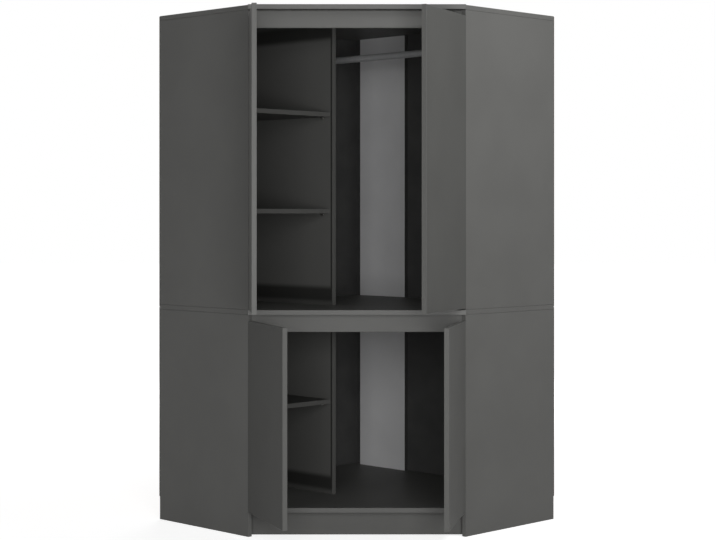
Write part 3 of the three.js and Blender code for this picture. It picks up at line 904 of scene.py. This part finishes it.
hinge_counts = {"upper": 3, "lower": 2}
cup_shells = hinge_cup_shells()
for door in doors:
    pin_place, on_door, _ = hinge_frame(door)
    for number in range(1, hinge_counts[door.split("_")[0]] + 1):
        node = f"{door}_hinge_cup_{number}"
        low_corner, high_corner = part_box(node)
        seat = np.array([pin_place[0], pin_place[1], (low_corner[2] + high_corner[2]) / 2])
        shells = [placed(shell, on_door, seat) for shell in cup_shells]
        piece(f"{node}_pressed", shells, nickel, [node])

# Hinge arms
# A pressed steel channel that goes from the hinge pin out of the pot, round the door's edge and back
# to a mounting plate. The plate's two wings are screwed to the side panel, and two screws set the arm.
arm_half_thickness, arm_half_height, arm_metal = 1.2 * millimetre, 7 * millimetre, 1.2 * millimetre
arm_reach, arm_length, arm_bend = 12.5 * millimetre, 54 * millimetre, 3 * millimetre
knuckle_radius, eye_radius, eye_sides = 2.9 * millimetre, 1.8 * millimetre, 32
plate_face = 16.157 * millimetre  # from the hinge pin to the mounting plate's underside
plate_depth, wing_depth = 5 * millimetre, 2.2 * millimetre
plate_start, plate_length, plate_height = 22.28 * millimetre, 44 * millimetre, 18 * millimetre
wing_length, wing_height = 14 * millimetre, 54 * millimetre
plate_corner, wing_corner = 2.5 * millimetre, 6.5 * millimetre
wing_screw_offset = 20 * millimetre
setting_screws = (30 * millimetre, 50 * millimetre)


def carried(section, path):
    """A section carried along a flat path, with its first measure across the path and its second
    upright. At a bend it is stretched across, so that the strip keeps its thickness."""
    path, section = np.asarray(path, float), np.asarray(section, float)
    ahead = np.diff(path, axis=0)
    ahead /= np.linalg.norm(ahead, axis=1, keepdims=True)
    into, out = np.vstack([ahead[:1], ahead]), np.vstack([ahead, ahead[-1:]])
    way = into + out
    way /= np.linalg.norm(way, axis=1, keepdims=True)
    across = np.stack([-way[:, 1], way[:, 0]], axis=1) / np.sum(way * out, axis=1, keepdims=True)
    flat = path[:, None] + across[:, None] * section[None, :, :1]
    level = np.broadcast_to(section[None, :, 1:], (*flat.shape[:2], 1))
    points = np.concatenate([flat, level], axis=2).reshape(-1, 3)
    count = len(section)
    ends = [list(range(count)), list(range(len(points) - count, len(points)))]
    return points, wrapped_quads(len(path), count) + ends, np.zeros(len(points))


def softened(path, radius, steps=7):
    """A path with each inner corner replaced by an arc that touches both of its sides."""
    path = [np.array(point, float) for point in path]
    line = [path[0]]
    for before, corner, after in zip(path, path[1:], path[2:]):
        back, on = (before - corner, after - corner)
        back, on = back / np.linalg.norm(back), on / np.linalg.norm(on)
        half = math.acos(float(back @ on)) / 2
        middle = corner + (back + on) / np.linalg.norm(back + on) * radius / math.sin(half)
        first = corner + back * radius / math.tan(half) - middle
        last = corner + on * radius / math.tan(half) - middle
        share = np.linspace(0, 1, steps)[:, None]
        arc = first * (1 - share) + last * share
        line += list(middle + radius * arc / np.linalg.norm(arc, axis=1, keepdims=True))
    return [*line, path[-1]]


def arm_section():
    """A channel that opens towards the side panel, its outer corners rounded."""
    outer = rounded_rectangle(2 * arm_half_thickness, 2 * arm_half_height, arm_metal / 2, steps=3)
    web_side = outer[outer[:, 0] < 0]
    web_side = web_side[np.argsort(-web_side[:, 1])]
    flange = arm_half_height - arm_metal
    inside = [(arm_half_thickness, -arm_half_height), (arm_half_thickness, -flange)]
    inside += [(arm_metal - arm_half_thickness, -flange), (arm_metal - arm_half_thickness, flange)]
    inside += [(arm_half_thickness, flange), (arm_half_thickness, arm_half_height)]
    return [*web_side.tolist(), *inside]


def hinge_arm_shells():
    """The bent channel, its knuckle, the plate with its wings, two fixing and two setting screws."""
    diagonal = math.sqrt(2)
    arm_line = plate_face + plate_depth + arm_half_thickness
    turn = np.array([arm_reach, arm_line * diagonal - arm_reach])
    end = turn + np.array([-1, 1]) * arm_length / diagonal
    path = softened([(knuckle_radius / 2, 0), (arm_reach, 0), turn, end], arm_bend)
    eye = [(eye_radius, arm_half_height), (knuckle_radius, arm_half_height)]
    eye += [(knuckle_radius, -arm_half_height), (eye_radius, -arm_half_height)]
    inwards, rearwards = np.array([1, 1, 0]) / diagonal, np.array([-1, 1, 0]) / diagonal
    plate_axes = np.stack([rearwards, upright, inwards])
    spine_middle = plate_start + plate_length / 2
    spine = rounded_rectangle(plate_length, plate_height, plate_corner) + (spine_middle, 0)
    wings = rounded_rectangle(wing_length, wing_height, wing_corner) + (spine_middle, 0)
    zero = np.zeros(3)
    edge = arris(edge_round, steps=3)
    shells = [
        carried(arm_section(), path),
        turned(eye, eye_sides, closed=True),
        placed(slab(spine, plate_face, plate_face + plate_depth, edge), plate_axes, zero),
        placed(slab(wings, plate_face, plate_face + wing_depth, edge), plate_axes, zero),
    ]
    for side in (-1, 1):
        seat = np.array([spine_middle, side * wing_screw_offset, plate_face + wing_depth])
        shells.append(placed(wide_screw, plate_axes, seat @ plate_axes))
    for place in setting_screws:
        seat = np.array([place, 0, plate_face + plate_depth + 2 * arm_half_thickness])
        shells.append(placed(small_screw, plate_axes, seat @ plate_axes))
    return shells


arm_shells = hinge_arm_shells()
for door in doors:
    pin_place, _, on_carcass = hinge_frame(door)
    for number in range(1, hinge_counts[door.split("_")[0]] + 1):
        node = f"{door}_hinge_arm_{number}"
        low_corner, high_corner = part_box(node)
        seat = np.array([pin_place[0], pin_place[1], (low_corner[2] + high_corner[2]) / 2])
        shells = [placed(shell, on_carcass, seat) for shell in arm_shells]
        piece(f"{node}_pressed", shells, nickel, [node])
